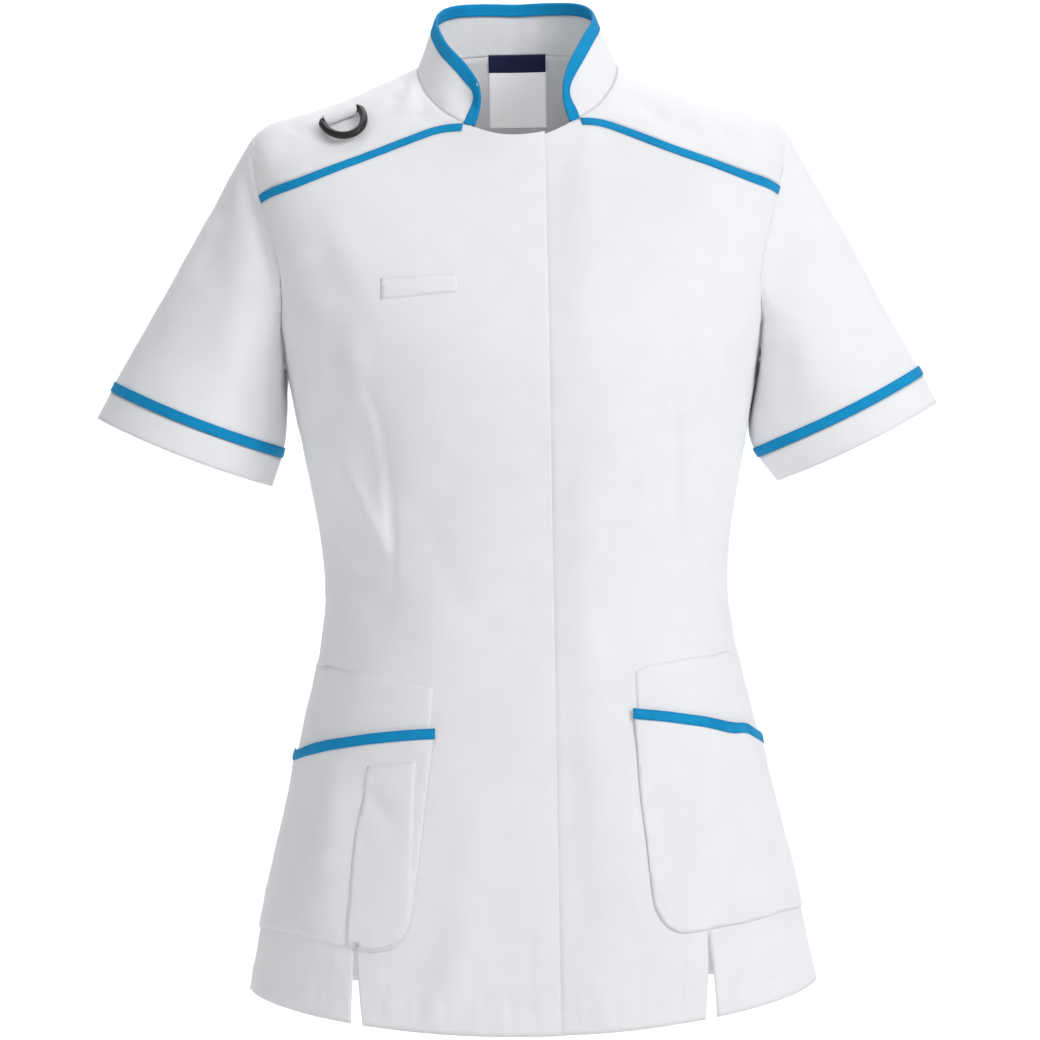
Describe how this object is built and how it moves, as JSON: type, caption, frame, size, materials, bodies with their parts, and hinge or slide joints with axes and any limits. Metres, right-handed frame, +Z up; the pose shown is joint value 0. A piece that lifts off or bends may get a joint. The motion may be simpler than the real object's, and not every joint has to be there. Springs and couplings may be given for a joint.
{
  "type": "short-sleeved medical tunic, worn form, no wearer",
  "caption": "White short-sleeved medical tunic with stand collar, concealed front poppers, blue trims, lower pockets, hem vents and a black D-ring on the right shoulder.",
  "frame": {"origin": "midway between the two side-neck points of the neckline, where the wearer's shoulders carry the tunic", "axes": "+X to the wearer's left, +Y to the back, +Z up"},
  "size_m": [0.6539, 0.2877, 0.7946],
  "materials": {
    "white_cloth": "fine plain weave, matt",
    "blue_trim": "woven tape, matt",
    "label_satin": "woven satin",
    "black_plastic": "moulded, satin gloss",
    "popper_plastic": "moulded, matt"
  },
  "bodies": {
    "tunic": {"back": "white_cloth", "chest_pocket_welt_right": "white_cloth", "collar": "white_cloth", "collar_binding": "blue_trim", "cuff_left": "white_cloth", "cuff_right": "white_cloth", "d_ring_tab": "white_cloth", "front_left": "white_cloth", "front_right": "white_cloth", "neck_label": "label_satin", "pen_pocket_right": "white_cloth", "pocket_backing_left": "white_cloth", "pocket_backing_right": "white_cloth", "pocket_left": "white_cloth", "pocket_right": "white_cloth", "pocket_trim_left": "blue_trim", "pocket_trim_right": "blue_trim", "popper_1": "popper_plastic", "popper_2": "popper_plastic", "popper_3": "popper_plastic", "popper_4": "popper_plastic", "popper_5": "popper_plastic", "popper_6": "popper_plastic", "sleeve_left": "white_cloth", "sleeve_right": "white_cloth", "sleeve_trim_left": "blue_trim", "sleeve_trim_right": "blue_trim", "yoke_left": "white_cloth", "yoke_right": "white_cloth", "yoke_trim_left": "blue_trim", "yoke_trim_right": "blue_trim"},
    "d_ring": {"d_ring": "black_plastic"}
  },
  "joints": [
    {"name": "d_ring_swing", "type": "hinge", "parent": "tunic", "child": "d_ring", "pos_m": [-0.13668, -0.03907, -0.03899], "axis": [-0.9196, -0.1524, -0.362], "range_deg": [0, 160]}
  ]
}
